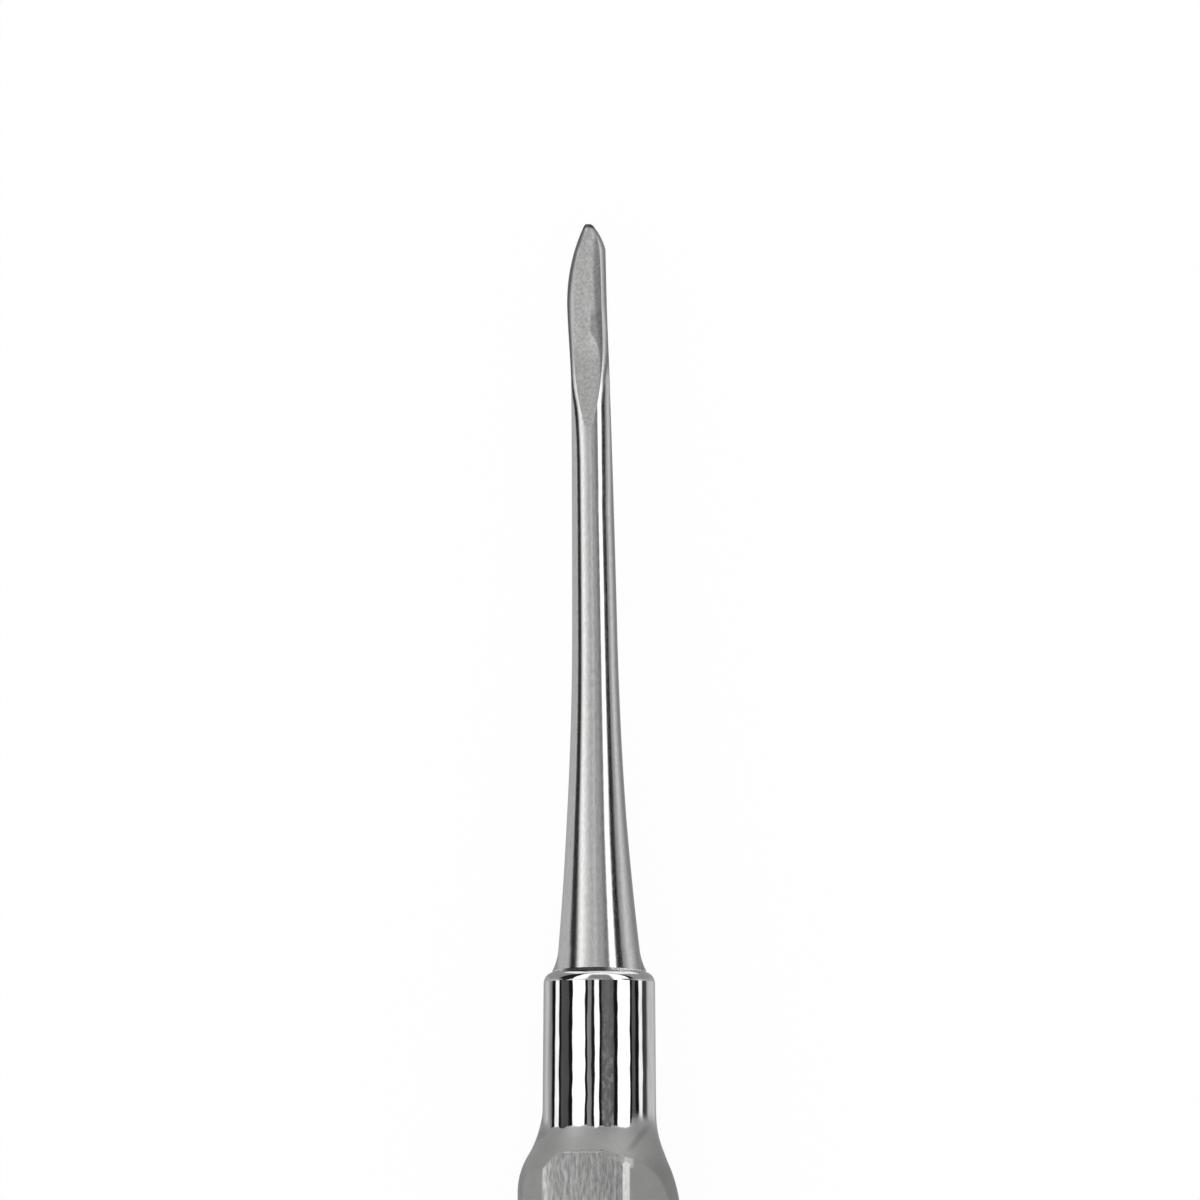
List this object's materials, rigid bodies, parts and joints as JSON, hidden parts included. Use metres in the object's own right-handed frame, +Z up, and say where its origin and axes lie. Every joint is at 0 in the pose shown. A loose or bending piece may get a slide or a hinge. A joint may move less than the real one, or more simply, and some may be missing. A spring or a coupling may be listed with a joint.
{
  "type": "root tip pick",
  "caption": "Hand-held dental root tip pick: scooped spear-point blade on a tapering round shank, set in a polished round neck that opens into a satin grip with ground flats.",
  "frame": {"origin": "centre of the bounding box on the surface that the tool lies on", "axes": "+Y along the tool from butt to tip, +Z up out of the scooped side of the blade, +X to the straight-edged side of the blade"},
  "size_m": [0.0122, 0.16, 0.01],
  "materials": {
    "polished_steel": "stainless steel, fine lengthwise polish on shank and foot, matt ground trough",
    "satin_steel": "stainless steel: mirror polished neck, bead blasted grip, main flats brushed lengthwise"
  },
  "bodies": {
    "root": {"working_end": "polished_steel", "handle": "satin_steel"}
  },
  "joints": []
}
